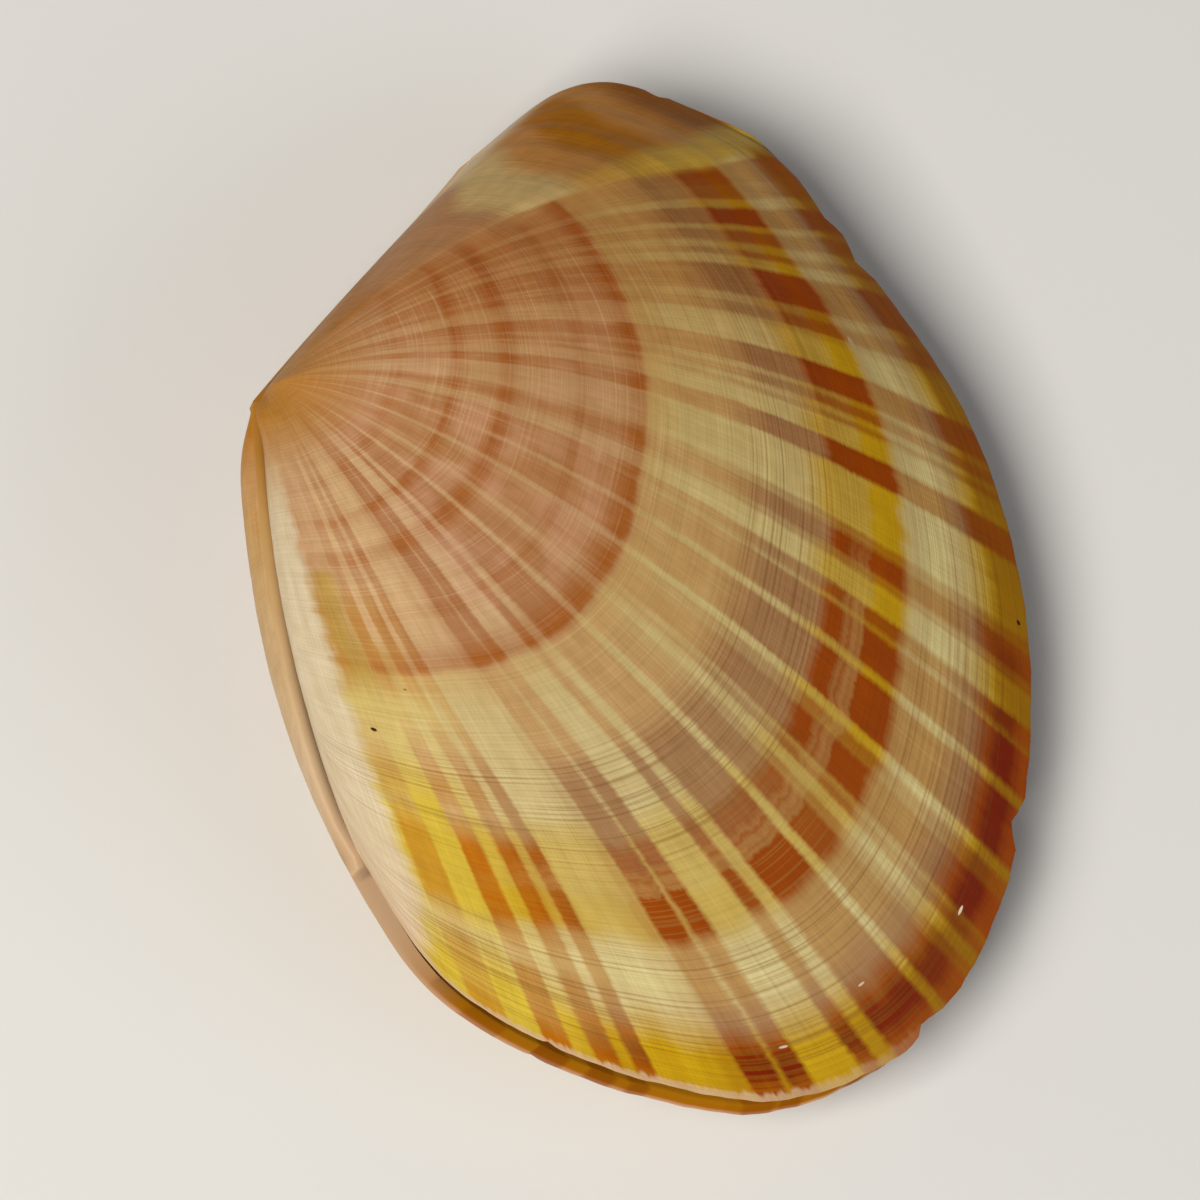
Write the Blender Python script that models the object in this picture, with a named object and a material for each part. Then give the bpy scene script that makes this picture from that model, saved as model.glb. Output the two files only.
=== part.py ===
"""Cross tellin shell, Tellinella cruciata: both valves together, lying on the right valve.

Metres. +X points to the drawn-out rear end, +Y to the hinge side and +Z up, out of the left valve. The
origin is the middle of the bounding box's bottom, in the plane of the small flat spot that the shell
rests on. Each valve grew as one piece and is one solid. The dried ligament between them is the third.
"""

import bisect
import math

import bmesh
import bpy
from mathutils import Matrix, Vector

MM = 0.001

# The outline of a valve at two ages, seen square on, in millimetres from the beak: x to the rear end and
# y to the hinge. A row is one colour ray: how far along the adult margin it ends, counted from the rear
# hinge corner, then its end on that margin, then its place on the margin of the half-grown shell, which
# the dark ring marks. A growth stage runs from 0 at the beak by 0.5 at that ring to 1 at the adult margin.
RAYS = (
    (0.00, (11.4, -13.2), (8.0, -8.7)),
    (0.04, (15.0, -18.0), (8.7, -10.2)),
    (0.07, (15.4, -21.5), (9.0, -11.4)),
    (0.12, (13.2, -26.0), (8.6, -13.3)),
    (0.17, (10.0, -30.0), (7.6, -15.1)),
    (0.23, (4.5, -33.3), (5.4, -16.9)),
    (0.33, (-5.0, -38.0), (0.6, -18.5)),
    (0.43, (-15.0, -39.5), (-4.2, -18.6)),
    (0.52, (-24.5, -38.2), (-8.7, -17.3)),
    (0.60, (-32.2, -35.0), (-12.5, -15.3)),
    (0.68, (-38.0, -29.7), (-15.2, -12.0)),
    (0.75, (-40.1, -22.5), (-16.3, -8.6)),
    (0.82, (-38.5, -15.8), (-16.3, -5.6)),
    (0.88, (-36.0, -10.6), (-16.0, -3.3)),
    (0.94, (-33.0, -6.4), (-15.1, -1.6)),
    (0.97, (-30.0, -4.0), (-14.3, -0.6)),
    (1.00, (-24.5, -1.5), (-13.2, 0.4)),
)

# How far a valve swells out of the plane where the two meet, in millimetres.
SWELL = 7.6
BEAK_RISE = 0.42  # far below 1, so that the middle rays stand up from the beak like a blunt nose
HINGE_RISE = 0.95  # and the rays along the hinge edge climb evenly
REAR_SLOPE = 0.12  # share of the margin over which the rear hinge slope climbs
FRONT_SLOPE = 0.07
REAR_OVERHANG = 0.2  # how far each hinge slope bulges out over its own edge
FRONT_OVERHANG = 0.9
OVERHANG_WIDTH = 0.03
REAR_BEND = 0.8  # the rear end of both valves bends to the right valve
REAR_BEND_START = 2.0
REAR_FOLD = 0.35  # the low fold that runs from the beak to the rear lower corner
REAR_FOLD_PLACE = 0.16
REAR_FOLD_WIDTH = 0.022

# Growth rests: each leaves a low step all round the valve, with three rows of points to shape it.
RESTS = (0.30, 0.38, 0.50, 0.66, 0.74, 0.84, 0.93)
STEP = 0.13
ROWS_TO_FIRST_REST = 6
ROWS_A_REST = 3
COLUMNS = 42  # of quads along the margin
CROWDING = 0.7  # 0 spaces the columns evenly, 1 crowds them to the two hinge slopes

# The inside: the outside drawn in about a centre and lowered, which leaves the wall, a thin rim and the
# wider hinge plate.
WALL = 1.0
INSET_CENTRE = (-12.6, -30.0)
INSET_SCALE = (0.984, 0.965)

# The ligament lies in a slot that both hinge plates leave behind the beak.
SLOT = 0.65
SLOT_STAGES = (0.04, 0.55)
SLOT_DEPTH = 0.03
LIGAMENT_SIZE = (7.6, 1.5, 0.95)
LIGAMENT_MIDDLE = (4.75, -5.75, -0.15)
LIGAMENT_TURN = -48.5

# The right valve has dropped open a little and slipped in the dried ligament.
GAPE = 2.5
HINGE_LINE = -25.0
SLIP = (-0.4, 0.6, -0.3)

# Lying still, the shell leans until its weight is over the spot that it rests on.
LEAN = 7.0
LEAN_TOWARD = -107.0
REST_CUT = 0.1  # how much of the lowest bulge the flat spot takes off
FLOOR_SIZE = 40.0

SHELL_CREAM = (0.72, 0.52, 0.27, 1.0)
SHELL_TAN = (0.66, 0.42, 0.20, 1.0)
LIGAMENT_BROWN = (0.11, 0.055, 0.025, 1.0)


def on_curve(place, places, points):
    """The point at a place on the smooth curve through the points."""

    def slope(i):
        before, after = max(i - 1, 0), min(i + 1, len(points) - 1)
        return (points[after] - points[before]) / (places[after] - places[before])

    i = min(max(bisect.bisect_right(places, place) - 1, 0), len(places) - 2)
    length = places[i + 1] - places[i]
    u = (place - places[i]) / length
    start, end = points[i], points[i + 1]
    return (
        start * (1 + 2 * u) * (1 - u) ** 2
        + slope(i) * length * u * (1 - u) ** 2
        + end * u * u * (3 - 2 * u)
        - slope(i + 1) * length * u * u * (1 - u)
    )


PLACES = [ray[0] for ray in RAYS]
ADULT = [Vector(ray[1]) for ray in RAYS]
HALF = [Vector(ray[2]) for ray in RAYS]


def outline(stage, place):
    """The margin at a growth stage, seen square on: a smooth way from the beak by the ring to the rim."""
    adult = on_curve(place, PLACES, ADULT)
    half = on_curve(place, PLACES, HALF)
    return half * 4 * stage * (1 - stage) + adult * stage * (2 * stage - 1)


def rise(stage, place):
    """How far up its own ray's swelling the surface is, from 0 at the beak and the rim to 1."""
    reach = min(outline(stage, place).length / on_curve(place, PLACES, ADULT).length, 1.0)
    power = BEAK_RISE + (HINGE_RISE - BEAK_RISE) * (2 * place - 1) ** 2
    top = power / (power + 1)
    return (reach / top) ** power * (1 - reach) / (1 - top)


def across(place):
    """The swelling's share at a place along the margin: both hinge slopes climb from the edge."""
    return (1 - math.exp(-place / REAR_SLOPE)) * (1 - math.exp((place - 1) / FRONT_SLOPE))


def hump(x):
    """0 at 0, 1 at 1, and falling away slowly after it."""
    return x * math.exp(1 - x)


def growth_step(stage):
    """The shell thickens up to each growth rest and starts again below it."""
    before = max((rest for rest in (0.0, *RESTS) if rest < stage), default=0.0)
    after = min((rest for rest in RESTS if rest >= stage), default=None)
    return 0.0 if after is None else STEP * ((stage - before) / (after - before)) ** 3


def slot(stage):
    first, last = SLOT_STAGES
    return SLOT * math.sin(math.pi * (stage - first) / (last - first)) ** 0.5 if first < stage < last else 0.0


def valve_point(stage, place, height):
    """A point of a valve's surface that swells to the given height, in millimetres."""
    up = rise(stage, place)
    flat = outline(stage, place)
    rear = REAR_OVERHANG * hump(place / OVERHANG_WIDTH) * up
    front = FRONT_OVERHANG * hump((1 - place) / OVERHANG_WIDTH) * up
    rear_edge = math.radians(90 + LIGAMENT_TURN)
    x = flat.x + rear * math.cos(rear_edge)
    y = flat.y + rear * math.sin(rear_edge) + front
    bend = max(x - REAR_BEND_START, 0) / (ADULT[2].x - REAR_BEND_START)
    z = height * up * across(place) + slot(stage) * math.exp(-place / SLOT_DEPTH)
    return x, y, z, -REAR_BEND * bend * bend


def outside(stage, place):
    x, y, z, bend = valve_point(stage, place, SWELL)
    fold = REAR_FOLD * math.exp(-(((place - REAR_FOLD_PLACE) / REAR_FOLD_WIDTH) ** 2))
    relief = growth_step(stage) + fold * stage
    return x, y, z + relief * min(z / STEP, 1.0), bend


def inside(stage, place):
    x, y, z, bend = valve_point(stage, place, SWELL - WALL)
    x = INSET_CENTRE[0] + (x - INSET_CENTRE[0]) * INSET_SCALE[0]
    y = INSET_CENTRE[1] + (y - INSET_CENTRE[1]) * INSET_SCALE[1]
    return x, y, z, bend


def growth_rows():
    """The growth stages that get a row of points: three a rest, and closer together at the beak."""
    first = [RESTS[0] * (i / ROWS_TO_FIRST_REST) ** 1.5 for i in range(ROWS_TO_FIRST_REST)]
    ends = (*RESTS, 1.0)
    steps = [
        start + (end - start) * i / ROWS_A_REST
        for start, end in zip(ends, ends[1:])
        for i in range(ROWS_A_REST)
    ]
    return [*first, *steps, 1.0]


def valve(name, side, colour):
    """A valve, from a slab that is a grid on both faces: its top moves onto the outside of the shell and
    its bottom onto the inside, which leaves its edges as the rim. side is 1 for left and -1 for right."""
    rows = growth_rows()
    mesh = bmesh.new()
    bmesh.ops.create_grid(mesh, x_segments=COLUMNS, y_segments=len(rows) - 1, size=0.5)
    slab = bmesh.ops.extrude_face_region(mesh, geom=mesh.faces[:], use_keep_orig=True)
    tops = [item for item in slab["geom"] if isinstance(item, bmesh.types.BMVert)]
    bmesh.ops.translate(mesh, verts=tops, vec=(0, 0, 1))
    for vert in mesh.verts:
        even = vert.co.x + 0.5
        place = even * (1 - CROWDING) + even * even * (3 - 2 * even) * CROWDING
        stage = rows[round((vert.co.y + 0.5) * (len(rows) - 1))]
        x, y, z, bend = (outside if vert.co.z > 0.5 else inside)(stage, place)
        vert.co = Vector((x, y, z * side + bend)) * MM
    bmesh.ops.remove_doubles(mesh, verts=mesh.verts, dist=1e-4 * MM)
    bmesh.ops.triangulate(mesh, faces=mesh.faces)
    bmesh.ops.recalc_face_normals(mesh, faces=mesh.faces)
    return as_object(name, mesh, colour, roughness=0.35)


def ligament():
    """The dried ligament, a low loaf along the rear hinge edge."""
    mesh = bmesh.new()
    bmesh.ops.create_uvsphere(mesh, u_segments=14, v_segments=10, radius=0.5)
    turn = Matrix.Rotation(math.radians(LIGAMENT_TURN), 4, "Z")
    size = Matrix.Diagonal((*LIGAMENT_SIZE, 1.0))
    upright = Matrix.Rotation(math.radians(90), 4, "Y")
    for vert in mesh.verts:
        vert.co = (turn @ size @ upright @ vert.co) * MM
    return as_object("ligament", mesh, LIGAMENT_BROWN, roughness=0.6)


def as_object(name, mesh, colour, roughness):
    data = bpy.data.meshes.new(name)
    mesh.to_mesh(data)
    mesh.free()
    data.shade_smooth()
    data.set_sharp_from_angle(angle=math.radians(40))
    data.materials.append(finish(name, colour, roughness))
    obj = bpy.data.objects.new(name, data)
    shell.objects.link(obj)
    return obj


def finish(name, colour, roughness):
    material = bpy.data.materials.new(name)
    material.use_nodes = True
    principled = material.node_tree.nodes["Principled BSDF"]
    principled.inputs["Base Color"].default_value = colour
    principled.inputs["Roughness"].default_value = roughness
    principled.inputs["Metallic"].default_value = 0.0
    return material


def turned(degrees, axis):
    return Matrix.Rotation(math.radians(degrees), 4, axis)


def corners(objects):
    """The lowest and highest corner of the objects' points, in world space."""
    points = [obj.matrix_world @ vert.co for obj in objects for vert in obj.data.vertices]
    low = Vector([min(point[i] for point in points) for i in range(3)])
    high = Vector([max(point[i] for point in points) for i in range(3)])
    return low, high


def flat_spot(obj):
    """Cuts the rest spot: a block whose top is the floor comes off the valve's lowest bulge."""
    bpy.ops.mesh.primitive_cube_add(size=FLOOR_SIZE * MM, location=(0, 0, -FLOOR_SIZE * MM / 2))
    block = bpy.context.object
    block.name = "rest_cutter"
    block.hide_render = True
    block.display_type = "WIRE"
    for collection in block.users_collection:
        collection.objects.unlink(block)
    cutters.objects.link(block)
    cut = obj.modifiers.new("rest_spot", "BOOLEAN")
    cut.operation = "DIFFERENCE"
    cut.solver = "EXACT"
    cut.object = block


for old in list(bpy.data.objects):
    bpy.data.objects.remove(old)
shell = bpy.data.collections.new("cross_tellin")
cutters = bpy.data.collections.new("cutters")
for group in (shell, cutters):
    bpy.context.scene.collection.children.link(group)

left = valve("left_valve", 1, SHELL_CREAM)
right = valve("right_valve", -1, SHELL_TAN)
band = ligament()

hinge = Vector((math.cos(math.radians(HINGE_LINE)), math.sin(math.radians(HINGE_LINE)), 0))
lean = Vector((math.cos(math.radians(LEAN_TOWARD + 90)), math.sin(math.radians(LEAN_TOWARD + 90)), 0))
at_rest = turned(LEAN, lean)
opened = Matrix.Translation(Vector(SLIP) * MM) @ turned(GAPE, hinge)
left.matrix_world = at_rest
right.matrix_world = at_rest @ opened
band.matrix_world = at_rest @ Matrix.Translation(Vector(LIGAMENT_MIDDLE) * MM)

lowest, highest = corners([left, right, band])
middle = (lowest + highest) / 2
settle = Matrix.Translation((-middle.x, -middle.y, -lowest.z - REST_CUT * MM))
for piece in (left, right, band):
    piece.matrix_world = settle @ piece.matrix_world
flat_spot(right)
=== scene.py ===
"""Looks of a cross tellin shell, Tellinella cruciata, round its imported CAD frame.

Both valves are remodelled with fine growth relief and a chipped rim, and get the species' colour rays.
"""

import math

import bpy
import numpy as np
from mathutils import Matrix, Vector


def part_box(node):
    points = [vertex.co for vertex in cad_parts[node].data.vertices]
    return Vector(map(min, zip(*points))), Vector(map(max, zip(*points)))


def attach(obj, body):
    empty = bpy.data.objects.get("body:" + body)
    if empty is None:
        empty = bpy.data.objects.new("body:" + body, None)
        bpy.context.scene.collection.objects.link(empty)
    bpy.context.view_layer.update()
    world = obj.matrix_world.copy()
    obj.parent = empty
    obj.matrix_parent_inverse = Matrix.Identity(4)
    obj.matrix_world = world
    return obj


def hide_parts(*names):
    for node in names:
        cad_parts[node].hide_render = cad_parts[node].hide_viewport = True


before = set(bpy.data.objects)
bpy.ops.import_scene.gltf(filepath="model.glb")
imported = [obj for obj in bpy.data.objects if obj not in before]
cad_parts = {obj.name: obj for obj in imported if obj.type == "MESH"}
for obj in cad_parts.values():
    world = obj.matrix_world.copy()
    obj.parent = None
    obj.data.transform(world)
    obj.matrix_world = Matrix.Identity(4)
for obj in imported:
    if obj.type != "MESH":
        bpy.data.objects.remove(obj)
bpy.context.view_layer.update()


# Left valve, the upper one in the photograph: one piece of shell, laid down at its rim in fine growth
# lines. Along its margin a point has a place, from 0 at the rear hinge corner to 1 at the front one, and
# on its way from the beak to that margin it has a growth stage, from 0 to 1. Both make its UV map.
MM = 0.001
GROWTH_ROWS = 200
MARGIN_COLUMNS = 240
COLUMN_CROWDING = 0.6  # 0 spaces the columns evenly, 1 crowds them to the two hinge slopes

# One row a ray: its place, its end on the adult margin and its place on the half-grown shell's margin,
# in millimetres from the beak, x to the rear and y to the hinge. The frame's valves have the same, but
# for the rear hinge corner in the first row, which stands about half a millimetre further out here.
RAYS = (
    (0.00, (11.8, -12.95), (7.9, -8.78)),
    (0.04, (15.0, -18.0), (8.7, -10.2)),
    (0.07, (15.4, -21.5), (9.0, -11.4)),
    (0.12, (13.2, -26.0), (8.6, -13.3)),
    (0.17, (10.0, -30.0), (7.6, -15.1)),
    (0.23, (4.5, -33.3), (5.4, -16.9)),
    (0.33, (-5.0, -38.0), (0.6, -18.5)),
    (0.43, (-15.0, -39.5), (-4.2, -18.6)),
    (0.52, (-24.5, -38.2), (-8.7, -17.3)),
    (0.60, (-32.2, -35.0), (-12.5, -15.3)),
    (0.68, (-38.0, -29.7), (-15.2, -12.0)),
    (0.75, (-40.1, -22.5), (-16.3, -8.6)),
    (0.82, (-38.5, -15.8), (-16.3, -5.6)),
    (0.88, (-36.0, -10.6), (-16.0, -3.3)),
    (0.94, (-33.0, -6.4), (-15.1, -1.6)),
    (0.97, (-30.0, -4.0), (-14.3, -0.6)),
    (1.00, (-24.5, -1.5), (-13.2, 0.4)),
)
PLACES = np.array([ray[0] for ray in RAYS])
ADULT = np.array([ray[1] for ray in RAYS])
HALF_GROWN = np.array([ray[2] for ray in RAYS])

# A valve's swelling and its wall, in millimetres. Along a ray the swelling peaks the nearer to the beak
# the lower its rise is, which grows from the middle of the margin to both hinge edges.
SWELL = 7.6
WALL = 1.0
MIDDLE_RISE = 0.42
HINGE_RISE = 0.95
REAR_SLOPE = 0.12  # the two hinge slopes, as lengths along the margin over which the swelling starts
FRONT_SLOPE = 0.07

# How far the swelling hangs out past the hinge edge, and at what distance in from the corner it is most.
REAR_OVERHANG = 0.2
FRONT_OVERHANG = 0.9
OVERHANG_WIDTH = 0.03
REAR_EDGE_ANGLE = math.radians(41.5)
LEFT_BULGE = (0.45, 0.045)  # how far the beak itself hangs over, and the stage where it does so most

# The rear end bends to the right valve, more and more from its start to its end, and has a low fold.
REAR_BEND = 0.8
REAR_BEND_START = 2.0
REAR_BEND_END = 15.4
FOLD_HEIGHT = 0.35
FOLD_PLACE = 0.16
FOLD_WIDTH = 0.022

# The inside is drawn in toward a point, which leaves a narrow face along the rim.
INSET_CENTRE = np.array((-12.6, -30.0))
INSET_SCALE = np.array((0.984, 0.965))

# Behind the beak the hinge edge stands off the other valve's, which leaves a slot for the ligament.
SLOT_HEIGHT = 0.65
SLOT_START = 0.04
SLOT_END = 0.55
SLOT_WIDTH = 0.03

# Stages at which growth rested, each of which left a step, and the fine growth lines over all.
RESTS = np.array((0.0, 0.30, 0.38, 0.50, 0.66, 0.74, 0.84, 0.93))
REST_STEP = 0.07
REST_DROP = 0.4  # share of the next band over which a step runs out
FINE_LINES = 70
FINE_LINES_START = 0.12
FINE_LINE_HEIGHT = 0.016
FINE_LINE_SEED = 11
WAVERS = ((0.0016, 23, 9, 0), (0.0009, 61, 0, 1.3))  # size, turns along place and stage, and start
RELIEF_START = 0.13  # millimetres over the margin from where the relief is whole: the edge stays even

# Broken places on the rim: where each starts, is deepest and ends, and its depth as a share of growth.
# The one of negative depth runs out instead.
CHIPS = (
    (0.085, 0.096, 0.099, 0.012),
    (0.104, 0.145, 0.168, -0.016),
    (0.178, 0.208, 0.2145, 0.015),
    (0.219, 0.236, 0.2455, 0.017),
    (0.533, 0.551, 0.557, 0.013),
    (0.640, 0.674, 0.676, 0.008),
    (0.8805, 0.885, 0.8895, 0.003),
    (0.905, 0.909, 0.914, 0.002),
)
CHIP_REACH = 0.06  # how far in from the rim the growth lines bend to a chip
RIM_UNEVENNESS = 0.0009
INNER_EDGE = 0.96  # the stage that the UV map gives the inner edge of the rim's narrow face
MERGE_WITHIN = 1e-7  # metres between the points that become one at the beak
CORNER_ANGLE = math.radians(50)
ROUND_FROM = 0.995  # the hinge edge past this place is rounded, so it isn't shaded as a corner


def on_curve(place, points):
    """Each place's point on the smooth curve through the points, which stand at PLACES."""
    slope = np.empty_like(points)
    slope[1:-1] = (points[2:] - points[:-2]) / (PLACES[2:] - PLACES[:-2])[:, None]
    slope[0] = (points[1] - points[0]) / (PLACES[1] - PLACES[0])
    slope[-1] = (points[-1] - points[-2]) / (PLACES[-1] - PLACES[-2])
    i = np.clip(np.searchsorted(PLACES, place, side="right") - 1, 0, len(PLACES) - 2)
    length = (PLACES[i + 1] - PLACES[i])[:, None]
    u = (place - PLACES[i])[:, None] / length
    start, end = points[i], points[i + 1]
    rise_out = slope[i] * length * u * (1 - u) ** 2
    rise_in = slope[i + 1] * length * u * u * (1 - u)
    return start * (1 + 2 * u) * (1 - u) ** 2 + rise_out + end * u * u * (3 - 2 * u) - rise_in


def hump(x):
    """Rises from 0 to 1 at x = 1, and falls off slowly after it."""
    return x * np.exp(1 - x)


def growth_step(stage):
    """The shell thickens up to each growth rest, and the step runs out soon after it."""
    i = np.clip(np.searchsorted(RESTS, stage, side="left"), 1, len(RESTS) - 1)
    share = np.clip((stage - RESTS[i - 1]) / (RESTS[i] - RESTS[i - 1]), 0, None)
    left_over = np.clip(1 - share / REST_DROP, 0, 1)
    run_out = np.where(stage > RESTS[1], left_over * left_over * (3 - 2 * left_over), 0)
    climb = np.where(stage > RESTS[-1], 0, share**3)
    return REST_STEP * np.maximum(climb, run_out)


def fine_lines(stage, place):
    """Low growth lines of uneven height, which waver a little along the margin."""
    lines = np.linspace(FINE_LINES_START, 1, FINE_LINES)
    heights = np.random.default_rng(FINE_LINE_SEED).uniform(-1, 1, FINE_LINES)
    heights[-1] = heights[0] = 0
    waver = sum(size * np.sin(along * place + out * stage + start) for size, along, out, start in WAVERS)
    return FINE_LINE_HEIGHT * np.interp(stage + waver, lines, heights)


def chipped(stage, place):
    """The stage of a point once the rim is drawn in at the chips and left a little uneven between them."""
    depth = sum(np.interp(place, chip[:3], (0, chip[3], 0), left=0, right=0) for chip in CHIPS)
    uneven = RIM_UNEVENNESS * (1 + 0.6 * np.sin(171 * place) + 0.4 * np.sin(397 * place + 2))
    near_rim = np.clip((stage - 1 + CHIP_REACH) / CHIP_REACH, 0, 1)
    return stage - (depth + uneven) * near_rim**2


def valve_surface(stage, place, height, bulge):
    """Points of a valve's surface that swells to the given height, in millimetres from the beak."""
    adult = on_curve(place, ADULT)
    half = on_curve(place, HALF_GROWN)
    s = stage[:, None]
    flat = half * 4 * s * (1 - s) + adult * s * (2 * s - 1)
    reach = np.minimum(np.linalg.norm(flat, axis=1) / np.linalg.norm(adult, axis=1), 1)
    power = MIDDLE_RISE + (HINGE_RISE - MIDDLE_RISE) * (2 * place - 1) ** 2
    top = power / (power + 1)
    up = (reach / top) ** power * (1 - reach) / (1 - top)
    rear = REAR_OVERHANG * hump(place / OVERHANG_WIDTH) * up
    bulge_reach, bulge_stage = bulge
    overhang = FRONT_OVERHANG * up + bulge_reach * hump(stage / bulge_stage) ** 3
    front = overhang * hump((1 - place) / OVERHANG_WIDTH)
    x = flat[:, 0] + rear * math.cos(REAR_EDGE_ANGLE)
    y = flat[:, 1] + rear * math.sin(REAR_EDGE_ANGLE) + front
    slopes = (1 - np.exp(-place / REAR_SLOPE)) * (1 - np.exp((place - 1) / FRONT_SLOPE))
    slot_share = np.clip((stage - SLOT_START) / (SLOT_END - SLOT_START), 0, 1)
    slot = SLOT_HEIGHT * np.sqrt(np.sin(math.pi * slot_share).clip(0)) * np.exp(-place / SLOT_WIDTH)
    return np.stack((x, y, height * up * slopes + slot), axis=1)


def bent(points, side):
    """Turns a valve's points to its side, and bends its rear end to the right valve."""
    past = np.clip(points[:, 0] - REAR_BEND_START, 0, None) / (REAR_BEND_END - REAR_BEND_START)
    points[:, 2] = points[:, 2] * side - REAR_BEND * past**2
    return points


def corner_points(mesh):
    """The number of the point at each corner of the mesh's faces."""
    corners = np.empty(len(mesh.loops), dtype=np.int64)
    mesh.loops.foreach_get("vertex_index", corners)
    return corners


def make_valve(name, side, bulge):
    """A valve from a slab: a grid, extruded, whose top goes onto the outside and its bottom onto the
    inside. The outside takes the first material, the inside and the rim the second."""
    bpy.ops.object.select_all(action="DESELECT")
    bpy.ops.mesh.primitive_grid_add(
        x_subdivisions=MARGIN_COLUMNS, y_subdivisions=GROWTH_ROWS, size=1, location=(0.5, 0.5, 0)
    )
    valve = bpy.context.object
    valve.name = name
    bpy.ops.object.transform_apply(location=True)
    bpy.ops.object.mode_set(mode="EDIT")
    bpy.ops.mesh.select_all(action="SELECT")
    bpy.ops.mesh.extrude_region_move(TRANSFORM_OT_translate={"value": (0, 0, 1)})
    bpy.ops.object.mode_set(mode="OBJECT")

    mesh = valve.data
    slab = np.empty(len(mesh.vertices) * 3)
    mesh.vertices.foreach_get("co", slab)
    even, raw_stage, level = slab.reshape(-1, 3).clip(0, 1).T
    place = even * (1 - COLUMN_CROWDING) + even * even * (3 - 2 * even) * COLUMN_CROWDING
    stage = chipped(raw_stage, place)
    on_top = level > 0.5
    outside = valve_surface(stage, place, SWELL, bulge)
    fold = FOLD_HEIGHT * np.exp(-(((place - FOLD_PLACE) / FOLD_WIDTH) ** 2)) * stage
    relief = growth_step(stage) + fold + fine_lines(stage, place)
    outside[:, 2] += relief * np.minimum(outside[:, 2] / RELIEF_START, 1)
    inside = valve_surface(stage, place, SWELL - WALL, bulge)
    inside[:, :2] = INSET_CENTRE + (inside[:, :2] - INSET_CENTRE) * INSET_SCALE
    points = bent(np.where(on_top[:, None], outside, inside), side) * MM
    mesh.vertices.foreach_set("co", points.ravel())

    uv = np.stack((place, np.where(on_top, stage, stage * INNER_EDGE)), axis=1)[corner_points(mesh)]
    mesh.uv_layers.active.data.foreach_set("uv", uv.ravel())
    for face in mesh.polygons:
        face.material_index = 0 if all(on_top[corner] for corner in face.vertices) else 1

    bpy.ops.object.mode_set(mode="EDIT")
    bpy.ops.mesh.select_all(action="SELECT")
    bpy.ops.mesh.remove_doubles(threshold=MERGE_WITHIN)
    bpy.ops.mesh.normals_make_consistent(inside=False)
    bpy.ops.object.mode_set(mode="OBJECT")
    bpy.ops.object.shade_smooth_by_angle(angle=CORNER_ANGLE)

    # The merge has renumbered the points, so the hinge edge is found again by the UV map's places.
    uv = np.empty(len(mesh.loops) * 2)
    mesh.uv_layers.active.data.foreach_get("uv", uv)
    place_of = np.empty(len(mesh.vertices))
    place_of[corner_points(mesh)] = uv[::2]
    ends = np.empty(len(mesh.edges) * 2, dtype=np.int64)
    mesh.edges.foreach_get("vertices", ends)
    at_hinge = (place_of[ends].reshape(-1, 2) > ROUND_FROM).all(axis=1)
    for edge in np.flatnonzero(at_hinge):
        mesh.edges[edge].use_edge_sharp = False
    return valve


def put_in_place(piece, place):
    """Moves the piece's mesh, and leaves its object at the origin."""
    piece.data.transform(place)
    piece.data.update()


def turned(degrees, axis):
    """A turn about the axis."""
    return Matrix.Rotation(math.radians(degrees), 4, axis)


def level_line(degrees):
    """The level direction that is turned so far from x toward y."""
    return Vector((math.cos(math.radians(degrees)), math.sin(math.radians(degrees)), 0))


# The shell lies leaning on its right valve, as in the frame, by these degrees toward that side.
LEAN = 7.0
LEAN_TOWARD = -107.0
at_rest = turned(LEAN, level_line(LEAN_TOWARD + 90))

left_valve = make_valve("left_valve_shell", side=1, bulge=LEFT_BULGE)
put_in_place(left_valve, at_rest)
own_points = np.array([vert.co for vert in left_valve.data.vertices])
frame_low, frame_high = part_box("left_valve")
beak = (frame_low + frame_high) / 2 - Vector((own_points.min(axis=0) + own_points.max(axis=0)) / 2)
put_in_place(left_valve, Matrix.Translation(beak))
shell_place = Matrix.Translation(beak) @ at_rest


def add(tree, kind, settings=None, inputs=None):
    """A new shader node with its settings, and its inputs as values or as the outputs that feed them."""
    made = tree.nodes.new("ShaderNode" + kind)
    for name, value in (settings or {}).items():
        setattr(made, name, value)
    for socket, value in (inputs or {}).items():
        if isinstance(value, bpy.types.NodeSocket):
            tree.links.new(value, made.inputs[socket])
        else:
            made.inputs[socket].default_value = value
    return made


def count(tree, operation, *values):
    """One step of arithmetic."""
    return add(tree, "Math", {"operation": operation}, dict(enumerate(values))).outputs[0]


def between(tree, value, start, end, low=0.0, high=1.0, shape="SMOOTHSTEP"):
    """Goes from low to high while the value goes from start to end."""
    inputs = {"Value": value, "From Min": start, "From Max": end, "To Min": low, "To Max": high}
    return add(tree, "MapRange", {"interpolation_type": shape}, inputs).outputs[0]


def mixed(tree, share, first, second, how="MIX"):
    """The second colour laid over the first by its share."""
    settings = {"data_type": "RGBA", "blend_type": how, "clamp_factor": True}
    return add(tree, "Mix", settings, {0: share, 6: first, 7: second}).outputs[2]


def paint(red, green, blue):
    """A colour as it looks on a screen, from 0 to 255, in the shader's linear values."""
    shares = (red / 255, green / 255, blue / 255)
    return (*(((share + 0.055) / 1.055) ** 2.4 if share > 0.04 else share / 12.92 for share in shares), 1)


def colour_ramp(tree, value, stops):
    """Paints, plain numbers or linear colours of four values, at their stops along the value."""
    ramp = add(tree, "ValToRGB", None, {"Fac": value})
    points = ramp.color_ramp.elements
    points[0].position, points[1].position = stops[0][0], stops[-1][0]
    for position, _ in stops[1:-1]:
        points.new(position)
    for point, (_, colour) in zip(points, stops):
        if isinstance(colour, (int, float)):
            point.color = (colour, colour, colour, 1)
        else:
            point.color = colour if len(colour) == 4 else paint(*colour)
    return ramp.outputs["Color"]


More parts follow.
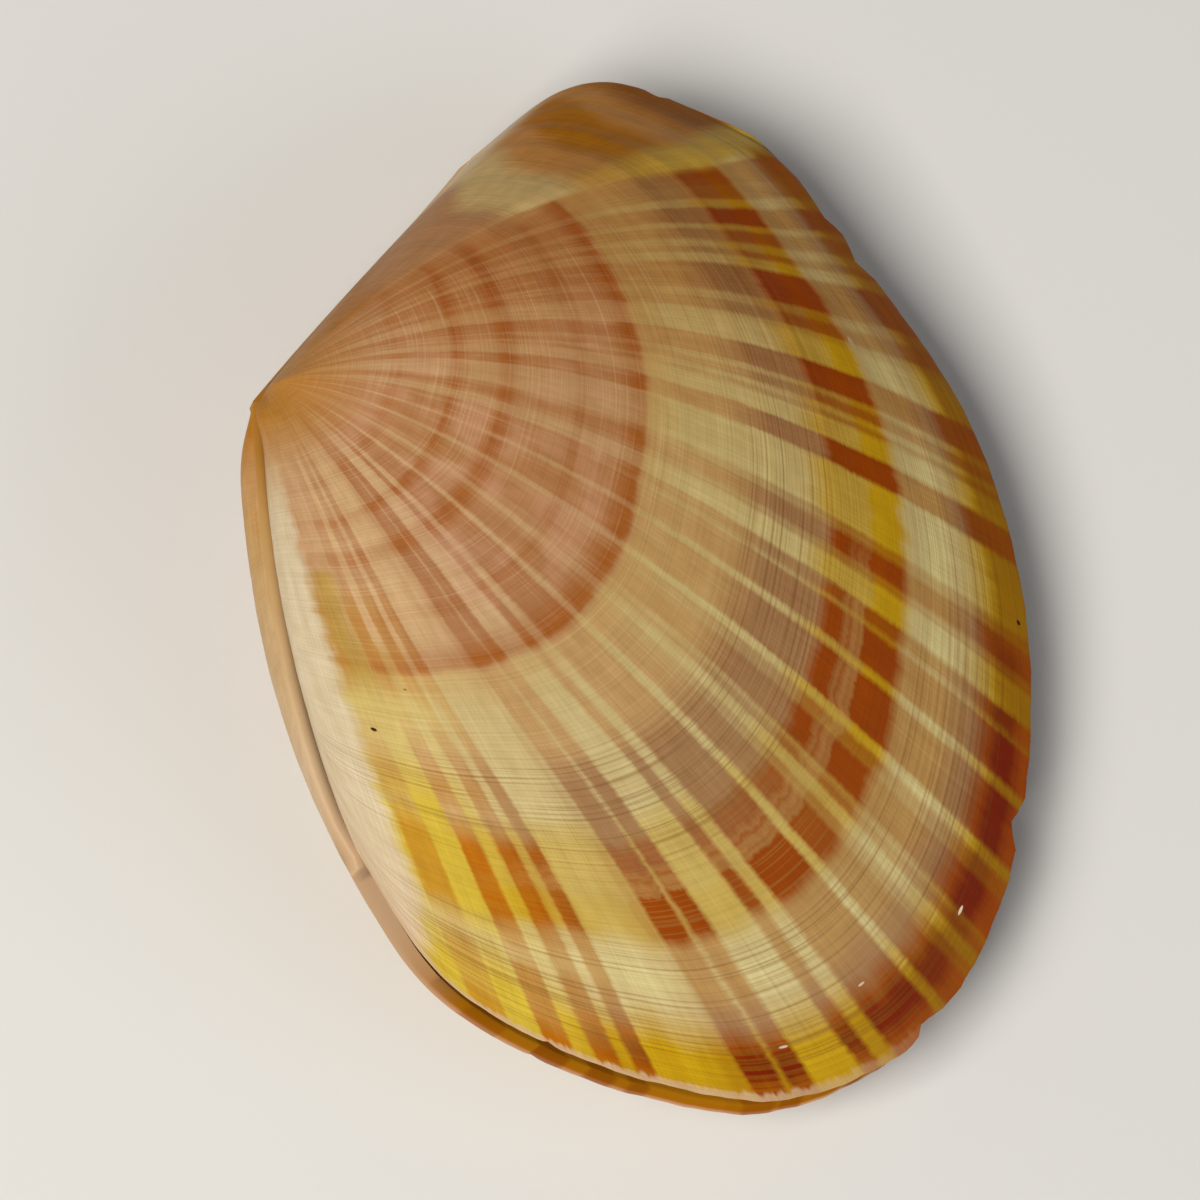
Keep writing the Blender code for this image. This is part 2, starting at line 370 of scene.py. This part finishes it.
def streaks(tree, place, stage, across, along, detail=2.0):
    """Noise from 0 to 1 that is drawn out: across streaks fit along the margin and along in growth."""
    sides = {0: count(tree, "MULTIPLY", place, across), 1: count(tree, "MULTIPLY", stage, along)}
    spot = add(tree, "CombineXYZ", None, sides).outputs[0]
    return add(tree, "TexNoise", None, {"Vector": spot, "Scale": 1.0, "Detail": detail}).outputs["Fac"]


# The colour rays, in five fans from rear to front. From each place on, a ray has that depth of colour.
RAY_FANS = (
    (
        (0.173, 0.9), (0.190, 0.8), (0.203, 0.3), (0.211, 1), (0.226, 0.35), (0.231, 0.85), (0.242, 0.3),
        (0.249, 0.75), (0.255, 0.15), (0.264, 1), (0.290, 0.5), (0.298, 0.85), (0.309, 0.25), (0.314, 0),
    ),
    (
        (0.336, 1), (0.356, 0.35), (0.361, 0.8), (0.369, 0.2), (0.374, 0.55), (0.379, 0), (0.395, 1),
        (0.414, 0), (0.454, 0.6), (0.461, 1), (0.475, 0.6), (0.481, 0),
    ),
    (
        (0.498, 0.9), (0.5075, 0.5), (0.5115, 1), (0.534, 0.15), (0.540, 1), (0.571, 0), (0.578, 0.7),
        (0.588, 1), (0.609, 0.5), (0.613, 0.75), (0.619, 0.1), (0.627, 0.6), (0.634, 0.95), (0.653, 0.05),
    ),
    (
        (0.660, 1), (0.692, 0.1), (0.701, 0.95), (0.710, 0), (0.733, 1), (0.745, 0.4), (0.748, 1),
        (0.767, 0.35), (0.776, 0.1), (0.790, 0),
    ),
    (
        (0.820, 0.95), (0.832, 0.15), (0.840, 1), (0.855, 0.05), (0.868, 1), (0.887, 0), (0.913, 0.55),
        (0.939, 0),
    ),
)
RAY_EDGE = 0.0016  # half the width over which a ray fades out at its side


def ray_mask(tree, place):
    """1 in the colour rays and 0 between them."""
    total = 0.0
    for fan in RAY_FANS:
        start, end = fan[0][0] - 2 * RAY_EDGE, fan[-1][0] + 2 * RAY_EDGE
        stops, depth = [(0.0, 0.0)], 0.0
        for step, deeper in fan:
            stops += [(step - RAY_EDGE, depth), (step + RAY_EDGE, deeper)]
            depth = deeper
        stops = stops[:1] + [((at - start) / (end - start), value) for at, value in stops[1:]] + [(1.0, 0.0)]
        local = between(tree, place, start, end, shape="LINEAR")
        total = count(tree, "ADD", colour_ramp(tree, local, stops), total)
    return total


# The shell's own paints, from 0 to 255: first those of the ground between the rays, then the rays' own,
# then those of the parts behind the fold, and last the paints that lie over all of them.
HONEY = (170, 114, 38)
PEACH = (188, 147, 105)
OAT = (194, 162, 104)
IVORY = (199, 177, 122)
BUTTER = (208, 191, 133)
STRAW = (190, 154, 62)
GOLD = (190, 148, 16)
HAY = (174, 138, 66)
WHEAT = (198, 174, 104)
LEMON = (198, 168, 54)
CREAM = (199, 161, 115)
BRONZE = (142, 92, 2)

ROSE = (175, 122, 80)
SAND = (189, 149, 96)
MAUVE = (160, 117, 78)
TAN = (179, 136, 78)
RUST = (148, 64, 0)
GARNET = (116, 28, 0)
UMBRA = (142, 72, 2)
TAWNY = (180, 132, 66)
AMBER = (179, 128, 60)
ORANGE = (176, 98, 0)

UMBER = (164, 104, 40)
TAUPE = (171, 121, 76)
SIENNA = (182, 124, 60)
OCHRE = (166, 102, 4)
BROWN = (138, 80, 18)
EDGE_CREAM = (214, 188, 152)

BLUSH = (204, 154, 124)
ROSEWOOD = (158, 94, 58)
RING = (160, 88, 28)
CHALK = (200, 167, 128)
FIBRE = (224, 194, 158)
THREAD = (226, 202, 168)
PAUSE = (128, 78, 44)

# How the paints follow one another as the shell grows, each from the stage where it is pure.
GROUND_BANDS = (
    (0.00, HONEY), (0.15, PEACH), (0.49, PEACH), (0.506, OAT), (0.56, IVORY), (0.70, IVORY), (0.735, STRAW),
    (0.79, STRAW), (0.80, GOLD), (0.83, GOLD), (0.846, IVORY), (0.88, BUTTER), (0.91, IVORY), (0.955, GOLD),
)
RAY_BANDS = (
    (0.00, HONEY), (0.14, ROSE), (0.495, ROSE), (0.508, SAND), (0.61, SAND), (0.66, MAUVE), (0.73, MAUVE),
    (0.745, RUST), (0.832, RUST), (0.846, TAN), (0.89, TAN), (0.925, MAUVE), (0.948, RUST), (0.960, GARNET),
    (0.976, GARNET), (0.990, RUST),
)
FRONT_GROUND_BANDS = (
    (0.00, HONEY), (0.15, PEACH), (0.315, PEACH), (0.335, HAY), (0.50, HAY), (0.55, WHEAT), (0.62, WHEAT),
    (0.70, LEMON), (0.84, LEMON), (0.88, WHEAT), (0.94, LEMON),
)
FRONT_RAY_BANDS = (
    (0.00, HONEY), (0.15, PEACH), (0.33, PEACH), (0.40, TAWNY), (0.495, AMBER), (0.56, WHEAT), (0.63, SAND),
    (0.675, TAWNY), (0.71, SAND), (0.73, AMBER), (0.755, ORANGE), (0.80, ORANGE), (0.838, ORANGE),
    (0.856, TAWNY), (0.885, OAT), (0.905, AMBER), (0.955, AMBER), (0.985, ORANGE),
)
REAR_BANDS = (
    (0.00, HONEY), (0.13, UMBER), (0.20, TAUPE), (0.385, TAUPE), (0.44, OAT), (0.53, OAT), (0.59, SIENNA),
    (0.65, SIENNA), (0.69, OCHRE), (0.79, OCHRE), (0.83, SIENNA), (0.87, SIENNA), (0.90, UMBER),
    (0.94, BROWN),
)

# Rings where the young shell rested: where each starts, is full, fades and ends, and its depth.
RINGS = (
    (0.148, 0.160, 0.166, 0.178, 0.3),
    (0.232, 0.238, 0.243, 0.260, 0.7),
    (0.290, 0.305, 0.315, 0.332, 0.75),
    (0.398, 0.407, 0.413, 0.426, 0.35),
    (0.455, 0.487, 0.495, 0.501, 0.9),
)

# The rust band on the front half starts mauve and holds pale lines: the depth of each, by stage.
MAUVE_START = ((0.73, 0.0), (0.745, 0.4), (0.76, 0.4), (0.775, 0.0))
PALE_LINES = (
    (0.762, 0.0), (0.769, 0.5), (0.774, 0.15), (0.780, 0.75), (0.784, 0.3), (0.788, 0.65), (0.792, 0.0),
)

# Specks of dirt and small nicks: place and stage, half their size along each, and colour.
SPECKS = (
    ((0.9285, 0.612), (0.0036, 0.0036), (52, 34, 12)),
    ((0.8735, 0.541), (0.0026, 0.0018), (150, 96, 18)),
    ((0.4465, 0.987), (0.0016, 0.0030), (48, 20, 6)),
    ((0.6090, 0.966), (0.0035, 0.0016), (236, 214, 190)),
    ((0.6830, 0.934), (0.0026, 0.0012), (222, 190, 160)),
    ((0.7370, 0.953), (0.0030, 0.0014), (226, 200, 170)),
    ((0.3080, 0.846), (0.0050, 0.0050), (190, 164, 120)),
)

# Painted shade: the colours darken from the front to the rear of the shell, by these linear shares of
# themselves.
REAR_SHADE = (
    (0.17, (0.87, 0.70, 0.48, 1)),
    (0.27, (0.86, 0.70, 0.48, 1)),
    (0.36, (0.92, 0.82, 0.66, 1)),
    (0.46, (0.95, 0.92, 0.80, 1)),
    (0.60, (0.98, 0.97, 0.88, 1)),
    (0.72, (1, 1, 1, 1)),
)
YOUNG_UNTIL = 0.75  # the stage up to which the young shell's bands are shifted


def times(tree, *values):
    """The product of masks and numbers."""
    total = values[0]
    for value in values[1:]:
        total = count(tree, "MULTIPLY", total, value)
    return total


def shifted(tree, value, noise, reach):
    """The value moved to either side by noise that runs from 0 to 1."""
    return count(tree, "MULTIPLY_ADD", count(tree, "SUBTRACT", noise, 0.5), reach, value)


def markings_group():
    """The colours of the outside: rays from the beak, crossed by bands where growth rested."""
    tree = bpy.data.node_groups.new("shell_markings", "ShaderNodeTree")
    for name in ("Place", "Stage"):
        tree.interface.new_socket(name, in_out="INPUT", socket_type="NodeSocketFloat")
    tree.interface.new_socket("Front Slope", in_out="INPUT", socket_type="NodeSocketColor")
    for name, kind in (("Colour", "Color"), ("Rays", "Float"), ("Lines", "Float")):
        tree.interface.new_socket(name, in_out="OUTPUT", socket_type="NodeSocket" + kind)
    given = tree.nodes.new("NodeGroupInput").outputs
    place, stage = given["Place"], given["Stage"]

    # Toward both hinge slopes the young shell's bands lie later in growth, and behind the fold all do.
    broad = streaks(tree, place, stage, 14, 5)
    close = streaks(tree, place, stage, 260, 30)
    jog = streaks(tree, place, stage, 30, 170)
    ragged = streaks(tree, place, stage, 60, 4, 3.0)
    young = count(tree, "MAXIMUM", count(tree, "SUBTRACT", YOUNG_UNTIL, stage), 0.0)
    slope = count(
        tree,
        "ADD",
        between(tree, place, 0.55, 0.9, 0, 0.085),
        between(tree, place, 0.3, 0.12, 0, 0.05),
    )
    band_stage = count(tree, "SUBTRACT", stage, times(tree, slope, young))
    band_stage = count(tree, "SUBTRACT", band_stage, between(tree, place, 0.11, 0.0, 0, 0.2))
    torn_bands = times(
        tree,
        count(tree, "SUBTRACT", ragged, 0.5),
        between(tree, stage, 0.5, 0.7, 0.008, 0.024),
    )
    band_stage = count(tree, "ADD", band_stage, torn_bands)
    for noise, reach in ((broad, 0.012), (close, 0.006)):
        band_stage = shifted(tree, band_stage, noise, reach)

    # Near the rim the rear rays turn to the rear, and the young shell's front rays lie further forward.
    # On the front half fine growth lines leave the rays a little thinner.
    ray_place = place
    for noise, reach in ((broad, 0.004), (close, 0.0022), (jog, 0.0030)):
        ray_place = shifted(tree, ray_place, noise, reach)
    turn_back = times(tree, between(tree, place, 0.34, 0.28), between(tree, stage, 0.82, 1.0, 0, 0.008))
    turn_front = times(tree, between(tree, place, 0.6, 0.85), between(tree, stage, 0.8, 0.4, 0, 0.02))
    ray_place = count(tree, "ADD", ray_place, count(tree, "SUBTRACT", turn_back, turn_front))
    lines = streaks(tree, place, stage, 5, 330, 3.0)
    gaps = times(
        tree,
        between(tree, lines, 0.56, 0.42, 0, 0.16),
        between(tree, place, 0.58, 0.68),
        between(tree, place, 0.93, 0.87),
        between(tree, stage, 0.62, 0.70),
    )
    rays = times(tree, ray_mask(tree, ray_place), count(tree, "SUBTRACT", 1.0, gaps))

    # The rays' colours and the ground's, each by stage, and both of their own on the front hinge side.
    ray_colour = colour_ramp(tree, band_stage, RAY_BANDS)
    mauve_start = times(
        tree,
        colour_ramp(tree, band_stage, MAUVE_START),
        between(tree, place, 0.60, 0.70),
        between(tree, place, 0.82, 0.78),
    )
    ray_colour = mixed(tree, mauve_start, ray_colour, paint(*MAUVE))
    pale_lines = times(tree, colour_ramp(tree, band_stage, PALE_LINES), between(tree, place, 0.44, 0.50))
    ray_colour = mixed(tree, pale_lines, ray_colour, paint(*TAN))
    dark_rim = times(tree, between(tree, place, 0.50, 0.44), between(tree, band_stage, 0.925, 0.95))
    ray_colour = mixed(tree, dark_rim, ray_colour, paint(*UMBRA))
    at_front = between(tree, place, 0.80, 0.88)
    ray_colour = mixed(tree, at_front, ray_colour, colour_ramp(tree, band_stage, FRONT_RAY_BANDS))
    ground = mixed(
        tree,
        between(tree, place, 0.83, 0.90),
        colour_ramp(tree, band_stage, GROUND_BANDS),
        colour_ramp(tree, band_stage, FRONT_GROUND_BANDS),
    )
    pale_front = times(
        tree,
        between(tree, place, 0.56, 0.72),
        between(tree, place, 0.93, 0.88),
        between(tree, stage, 0.12, 0.22),
        between(tree, stage, 0.50, 0.46),
    )
    ground = mixed(tree, pale_front, ground, paint(*CREAM))
    pale_band = times(
        tree,
        between(tree, place, 0.56, 0.64),
        between(tree, place, 0.86, 0.80),
        between(tree, band_stage, 0.69, 0.73, 0, 0.6),
        between(tree, band_stage, 0.86, 0.84),
    )
    ground = mixed(tree, pale_band, ground, paint(*WHEAT))
    bronze_rim = times(
        tree,
        between(tree, place, 0.72, 0.66),
        between(tree, band_stage, 0.945, 0.965, 0, 0.8),
    )
    ground = mixed(tree, bronze_rim, ground, paint(*BRONZE))
    colour = mixed(tree, rays, ground, ray_colour)

    # The young shell's rings, deep in the rays, and its pink bloom.
    ring_stops = [(0.0, 0.0)]
    for start, full, fading, end, depth in RINGS:
        ring_stops += [(start, 0.0), (full, depth), (fading, depth), (end, 0.0)]
    ring_share = times(
        tree,
        colour_ramp(tree, band_stage, ring_stops),
        count(tree, "MULTIPLY_ADD", rays, 0.6, 0.4),
        between(tree, place, 0.95, 0.80, 0.35, 1.0),
    )
    bloom = times(
        tree,
        between(tree, streaks(tree, place, stage, 16, 12), 0.42, 0.66, 0, 0.5),
        between(tree, stage, 0.10, 0.20),
        between(tree, stage, 0.49, 0.44),
        between(tree, place, 0.25, 0.5),
        between(tree, place, 0.80, 0.70),
    )
    colour = mixed(tree, bloom, colour, paint(*BLUSH))
    deep_rays = times(tree, pale_front, rays, 0.16)
    colour = mixed(tree, deep_rays, colour, paint(*ROSEWOOD))
    colour = mixed(tree, ring_share, colour, paint(*RING))

    # Painted shade: the colours darken toward the rear, growing in past the beak, and only about half as
    # much near the rim.
    tint = colour_ramp(tree, place, REAR_SHADE)
    rear_shade_share = times(tree, between(tree, stage, 0.08, 0.25), between(tree, stage, 0.72, 0.78, 1.0, 0.55))
    colour = mixed(tree, rear_shade_share, colour, tint, "MULTIPLY")

    # Rear of the fold: no fine rays, one pale ray on the fold and a cream edge along the hinge.
    rear_place = shifted(tree, place, broad, 0.02)
    fold_place = count(tree, "ADD", rear_place, between(tree, stage, 0.84, 1.0, 0, 0.014))
    rear = mixed(
        tree,
        times(tree, between(tree, fold_place, 0.138, 0.156), between(tree, stage, 0.5, 0.8, 0, 0.85)),
        colour_ramp(tree, shifted(tree, band_stage, jog, 0.05), REAR_BANDS),
        paint(*STRAW),
    )
    edge_share = times(tree, between(tree, rear_place, 0.05, 0.02), between(tree, stage, 0.45, 0.7))
    rear = mixed(tree, edge_share, rear, paint(*EDGE_CREAM))
    soft_rear = times(tree, between(tree, fold_place, 0.20, 0.155), between(tree, stage, 0.55, 0.35))
    rear_share = count(tree, "MAXIMUM", soft_rear, between(tree, fold_place, 0.178, 0.166))
    colour = mixed(tree, rear_share, colour, rear)

    # The front hinge slope is chalky and pale, with a torn edge to the yellow beside it.
    torn = shifted(tree, shifted(tree, place, close, 0.008), streaks(tree, place, stage, 8, 60, 4.0), 0.02)
    torn = count(tree, "SUBTRACT", torn, between(tree, stage, 0.84, 1.0, 0, 0.018))
    slope_share = times(tree, between(tree, torn, 0.936, 0.953), between(tree, stage, 0.10, 0.26))
    colour = mixed(tree, slope_share, colour, given["Front Slope"])

    # The lip is worn pale on the front half, a few growth lines wide and never straight.
    worn = shifted(tree, stage, close, 0.014)
    lip = times(tree, between(tree, worn, 0.989, 0.995), between(tree, place, 0.64, 0.78, 0, 0.85))
    colour = mixed(tree, lip, colour, paint(*CHALK))
    for at, size, tone in SPECKS:
        away = count(tree, "MULTIPLY", count(tree, "SUBTRACT", place, at[0]), 1 / size[0])
        along = count(tree, "MULTIPLY", count(tree, "SUBTRACT", stage, at[1]), 1 / size[1])
        squares = [count(tree, "POWER", distance, 2.0) for distance in (away, along)]
        reach = count(tree, "SQRT", count(tree, "ADD", *squares))
        colour = mixed(tree, between(tree, reach, 1.0, 0.6), colour, paint(*tone))

    # Pale fibres run with the growth and pale threads across it, mostly in the young shell.
    patches = between(tree, streaks(tree, place, stage, 12, 9), 0.34, 0.6, 0.3, 1.0)
    body = times(
        tree,
        between(tree, stage, 0.08, 0.16),
        between(tree, place, 0.16, 0.24),
        between(tree, place, 0.96, 0.90),
    )
    fibres = between(tree, streaks(tree, place, stage, 420, 10, 3.0), 0.50, 0.66)
    fibre_depth = between(tree, stage, 0.74, 0.45, 0.0, 0.10)
    colour = mixed(tree, times(tree, fibres, patches, body, fibre_depth), colour, paint(*FIBRE))
    threads = between(tree, lines, 0.55, 0.68)
    thread_depth = between(tree, stage, 0.74, 0.44, 0.0, 0.10)
    colour = mixed(tree, times(tree, threads, patches, body, thread_depth), colour, paint(*THREAD))

    # Dark growth lines where growth slowed, and fine lengthwise streaks. Both are warm.
    hair = streaks(tree, place, stage, 700, 6, 1.0)
    slow = count(
        tree,
        "ADD",
        times(tree, between(tree, band_stage, 0.60, 0.66), between(tree, band_stage, 0.80, 0.72)),
        times(tree, between(tree, band_stage, 0.83, 0.87), between(tree, band_stage, 1.0, 0.96)),
    )
    pauses = times(tree, between(tree, lines, 0.46, 0.36), slow, between(tree, place, 0.30, 0.45), 0.24)
    colour = mixed(tree, pauses, colour, paint(*PAUSE))
    lines_depth = count(tree, "MULTIPLY_ADD", slow, 0.5, 0.4)
    lines_shade = count(tree, "MULTIPLY", count(tree, "SUBTRACT", lines, 0.5), lines_depth)
    mottle = streaks(tree, place, stage, 70, 22, 4.0)
    shade = shifted(tree, shifted(tree, lines_shade, hair, 0.3), mottle, 0.4)
    warm = add(
        tree,
        "CombineColor",
        None,
        {
            0: count(tree, "MULTIPLY_ADD", shade, 0.8, 1.0),
            1: count(tree, "MULTIPLY_ADD", shade, 1.1, 1.0),
            2: count(tree, "MULTIPLY_ADD", shade, 1.5, 1.0),
        },
    )
    colour = mixed(tree, 1.0, colour, warm.outputs[0], "MULTIPLY")

    out = tree.nodes.new("NodeGroupOutput")
    for name, value in (("Colour", colour), ("Rays", rays), ("Lines", lines)):
        tree.links.new(value, out.inputs[name])
    return tree


shell_markings = markings_group()
SHELL_GLOSS = 0.12
SHEEN_TINT = (1.0, 0.82, 0.6, 1)
LINE_LIFT = 0.00004  # metres that the shading lifts the growth lines


def new_finish(name, gloss):
    """A new material with its node tree and its shader, which has that gloss, tinted warm."""
    material = bpy.data.materials.new(name)
    material.use_nodes = True
    shader = material.node_tree.nodes["Principled BSDF"]
    shader.inputs["Specular IOR Level"].default_value = gloss
    shader.inputs["Specular Tint"].default_value = SHEEN_TINT
    return material, material.node_tree, shader


def place_and_stage(tree):
    """Where a point lies on the shell, from the UV map."""
    uv_map = add(tree, "UVMap", {"uv_map": "UVMap"})
    return add(tree, "SeparateXYZ", None, {0: uv_map.outputs[0]}).outputs[:2]


def lifted(tree, shader, height, distance):
    """Lifts the shading by the height, which runs from 0 to 1, times half the distance."""
    bump = add(tree, "Bump", None, {"Strength": 0.5, "Distance": distance, "Height": height})
    tree.links.new(bump.outputs[0], shader.inputs["Normal"])


def outside_finish(name, front_slope):
    """Satin shell with its markings and a fine lift of growth lines. The slope's colours go by stage."""
    material, tree, shader = new_finish(name, SHELL_GLOSS)
    place, stage = place_and_stage(tree)
    given = {"Place": place, "Stage": stage, "Front Slope": colour_ramp(tree, stage, front_slope)}
    marks = add(tree, "Group", {"node_tree": shell_markings}, given).outputs
    tree.links.new(marks["Colour"], shader.inputs["Base Color"])
    roughness = between(tree, streaks(tree, place, stage, 18, 60, 4.0), 0.3, 0.7, 0.36, 0.52, "LINEAR")
    tree.links.new(roughness, shader.inputs["Roughness"])
    lifted(tree, shader, marks["Lines"], LINE_LIFT)
    return material


# The inside's colours from the beak to the rim's broken edge, and those along both hinge edges.
INSIDE_COLOURS = (
    (0.00, (196, 150, 90)), (0.40, (208, 172, 108)), (0.75, (204, 156, 66)), (0.88, (190, 130, 30)),
    (0.960, (186, 124, 16)), (0.985, (176, 108, 12)), (0.990, (200, 142, 92)), (1.00, (212, 164, 128)),
)
INSIDE_SLOPE = (200, 170, 110)
INSIDE_RAY = (136, 62, 8)
INSIDE_RAY_DEPTH = 0.6
HINGE_COLOURS = (
    (0.00, (166, 112, 40)), (0.10, (172, 122, 52)), (0.22, (184, 142, 84)), (0.45, (192, 158, 112)),
    (0.75, (202, 172, 134)), (1.00, (204, 168, 130)),
)


def inside_finish(name):
    """Smooth glossy inside, through which the rays show brown, and the pale broken edge of the rim."""
    material, tree, shader = new_finish(name, SHELL_GLOSS)
    place, stage = place_and_stage(tree)
    given = {"Place": place, "Stage": stage, "Front Slope": paint(*INSIDE_SLOPE)}
    marks = add(tree, "Group", {"node_tree": shell_markings}, given).outputs
    colour = mixed(
        tree,
        count(tree, "MULTIPLY", marks["Rays"], INSIDE_RAY_DEPTH),
        colour_ramp(tree, stage, INSIDE_COLOURS),
        paint(*INSIDE_RAY),
    )
    at_hinge = count(tree, "MAXIMUM", between(tree, place, 0.94, 0.985), between(tree, place, 0.05, 0.02))
    colour = mixed(tree, at_hinge, colour, colour_ramp(tree, stage, HINGE_COLOURS))
    tree.links.new(colour, shader.inputs["Base Color"])
    tree.links.new(between(tree, stage, 0.975, 0.99, 0.22, 0.5), shader.inputs["Roughness"])
    return material


# The left valve's front hinge slope, by stage.
CHALK_SLOPE = (
    (0.10, (196, 164, 118)), (0.25, (204, 184, 150)), (0.60, (206, 188, 154)), (0.90, (208, 186, 152)),
    (1.00, (206, 176, 142)),
)

left_valve.data.materials.append(outside_finish("left valve outside", CHALK_SLOPE))
valve_inside = inside_finish("valve inside")
left_valve.data.materials.append(valve_inside)
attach(left_valve, "root")
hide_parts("left_valve")


# Right valve, the lower one: the left one's mirror image in shell, dropped open a little and slipped in
# the dried ligament. Its lowest bulge is worn flat where the shell lies.
GAPE = 2.5
HINGE_LINE = -25.0
SLIP = (-0.4, 0.6, -0.3)
RIGHT_BULGE = (0.32, 0.12)  # its beak hangs over a little less, and most at a later stage

opened = Matrix.Translation(Vector(SLIP) * MM) @ turned(GAPE, level_line(HINGE_LINE))
right_valve = make_valve("right_valve_shell", side=-1, bulge=RIGHT_BULGE)
put_in_place(right_valve, shell_place @ opened)
for vert in right_valve.data.vertices:
    vert.co.z = max(vert.co.z, 0)
right_valve.data.update()

right_valve.data.materials.append(outside_finish("right valve outside", HINGE_COLOURS))
right_valve.data.materials.append(valve_inside)
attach(right_valve, "root")
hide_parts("right_valve")


# Ligament: the horny band behind the beaks that held the valves open on the living animal. It has dried
# hard and dark, with lengthwise wrinkles, and still joins the two hinge edges.
LIGAMENT_SIZE = (7.3, 1.2, 0.93)
LIGAMENT_MIDDLE = (4.68, -5.83, -0.15)
LIGAMENT_TURN = -48.5
BROAD_WRINKLES = 0.03
FINE_WRINKLES = 0.015

bpy.ops.object.select_all(action="DESELECT")
bpy.ops.mesh.primitive_uv_sphere_add(segments=48, ring_count=64, radius=0.5)
ligament = bpy.context.object
ligament.name = "ligament_band"
for vert in ligament.data.vertices:
    around = math.atan2(vert.co.y, vert.co.x)
    broad = BROAD_WRINKLES * (1 + math.sin(9 * around + 3 * vert.co.z))
    fine = FINE_WRINKLES * (1 + math.sin(23 * around + 1))
    vert.co.x *= 1 - broad - fine
    vert.co.y *= 1 - broad - fine
along = turned(90, "Y")
size = Matrix.Diagonal((*(Vector(LIGAMENT_SIZE) * MM), 1))
middle = Matrix.Translation(Vector(LIGAMENT_MIDDLE) * MM)
put_in_place(ligament, shell_place @ middle @ turned(LIGAMENT_TURN, "Z") @ size @ along)
bpy.ops.object.shade_smooth()

# Its horn: the colours by grain, the gloss, and how many fibres fit in a metre along each of its sides.
HORN_COLOURS = ((0.3, (52, 30, 14)), (0.55, (92, 56, 28)), (0.75, (132, 88, 46)))
HORN_GLOSS = 0.25
FIBRES_IN_A_METRE = (300, 3000, 3000)
FIBRE_LIFT = 0.00008  # metres that the shading lifts the fibres


def dried_ligament():
    """Dull dark horn in fibres that run along the band."""
    material, tree, shader = new_finish("dried ligament", HORN_GLOSS)
    along_band = {
        "Vector": add(tree, "TexCoord").outputs["Object"],
        "Rotation": (0, 0, math.radians(-LIGAMENT_TURN)),
        "Scale": FIBRES_IN_A_METRE,
    }
    fibres = add(tree, "Mapping", None, along_band).outputs[0]
    grain = add(tree, "TexNoise", None, {"Vector": fibres, "Scale": 1.0, "Detail": 4.0}).outputs["Fac"]
    tree.links.new(colour_ramp(tree, grain, HORN_COLOURS), shader.inputs["Base Color"])
    tree.links.new(between(tree, grain, 0.3, 0.7, 0.5, 0.75), shader.inputs["Roughness"])
    lifted(tree, shader, grain, FIBRE_LIFT)
    return material


ligament.data.materials.append(dried_ligament())
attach(ligament, "root")
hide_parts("ligament")


# The table that the shell lies on, plain and pale, with soft studio light from the front hinge side.
FLOOR_SIZE = 3.0
TABLETOP = (226, 224, 220)
TABLETOP_ROUGHNESS = 0.8
KEY_PLACE = (-0.15, 0.32, 0.51)
KEY_SIZE = 0.34
KEY_POWER = 3.85
KEY_TINT = (1.0, 0.97, 0.92)
FILL_PLACE = (-0.26, -0.45, 0.30)
FILL_SIZE = 0.5
FILL_POWER = 1.0
FILL_TINT = (0.94, 0.97, 1.0)
SKY = (0.90, 0.92, 0.95, 1)
SKY_STRENGTH = 0.1

bpy.ops.mesh.primitive_plane_add(size=FLOOR_SIZE)
table = bpy.context.object
table.name = "table"
tabletop = bpy.data.materials.new("pale tabletop")
tabletop.use_nodes = True
tabletop_shader = tabletop.node_tree.nodes["Principled BSDF"]
tabletop_shader.inputs["Base Color"].default_value = paint(*TABLETOP)
tabletop_shader.inputs["Roughness"].default_value = TABLETOP_ROUGHNESS
table.data.materials.append(tabletop)


def soft_light(name, place, width, power, tint):
    """A square lamp that faces the shell."""
    bpy.ops.object.light_add(type="AREA", location=place)
    lamp = bpy.context.object
    lamp.name = name
    lamp.rotation_euler = (-Vector(place)).to_track_quat("-Z", "Y").to_euler()
    lamp.data.size = width
    lamp.data.energy = power
    lamp.data.color = tint


soft_light("key light", KEY_PLACE, KEY_SIZE, KEY_POWER, KEY_TINT)
soft_light("fill light", FILL_PLACE, FILL_SIZE, FILL_POWER, FILL_TINT)
world = bpy.data.worlds.new("studio")
world.use_nodes = True
sky_shader = world.node_tree.nodes["Background"]
sky_shader.inputs["Color"].default_value = SKY
sky_shader.inputs["Strength"].default_value = SKY_STRENGTH
bpy.context.scene.world = world
bpy.context.scene.view_settings.view_transform = "Standard"


# The camera looks almost straight down on the left valve, with the drawn-out rear end up. Its direction
# and the point it looks at belong to the plane where the valves meet, and lean with the shell.
CAMERA_TILT = 17.7
CAMERA_TOWARD = 125.0
CAMERA_ROLL = 8.3
CAMERA_DISTANCE = 300.0
LOOKS_AT = (-12.8, -16.3, 0.0)
LENS = 171.3
SENSOR = 36
NEAREST = 0.01

tilt, toward, roll = (math.radians(angle) for angle in (CAMERA_TILT, CAMERA_TOWARD, CAMERA_ROLL))
back = Vector((math.sin(tilt) * math.cos(toward), math.sin(tilt) * math.sin(toward), math.cos(tilt)))
level_up = (Vector((1, 0, 0)) - back * back.x).normalized()
level_right = level_up.cross(back)
up = level_up * math.cos(roll) + level_right * math.sin(roll)
aim = Matrix((up.cross(back), up, back)).transposed().to_4x4()
target = shell_place @ Matrix.Translation(Vector(LOOKS_AT) * MM)

bpy.ops.object.camera_add()
camera = bpy.context.object
camera.name = "photo camera"
camera.matrix_world = target @ Matrix.Translation(back * CAMERA_DISTANCE * MM) @ aim
camera.data.lens = LENS
camera.data.sensor_width = SENSOR
camera.data.clip_start = NEAREST
bpy.context.scene.camera = camera
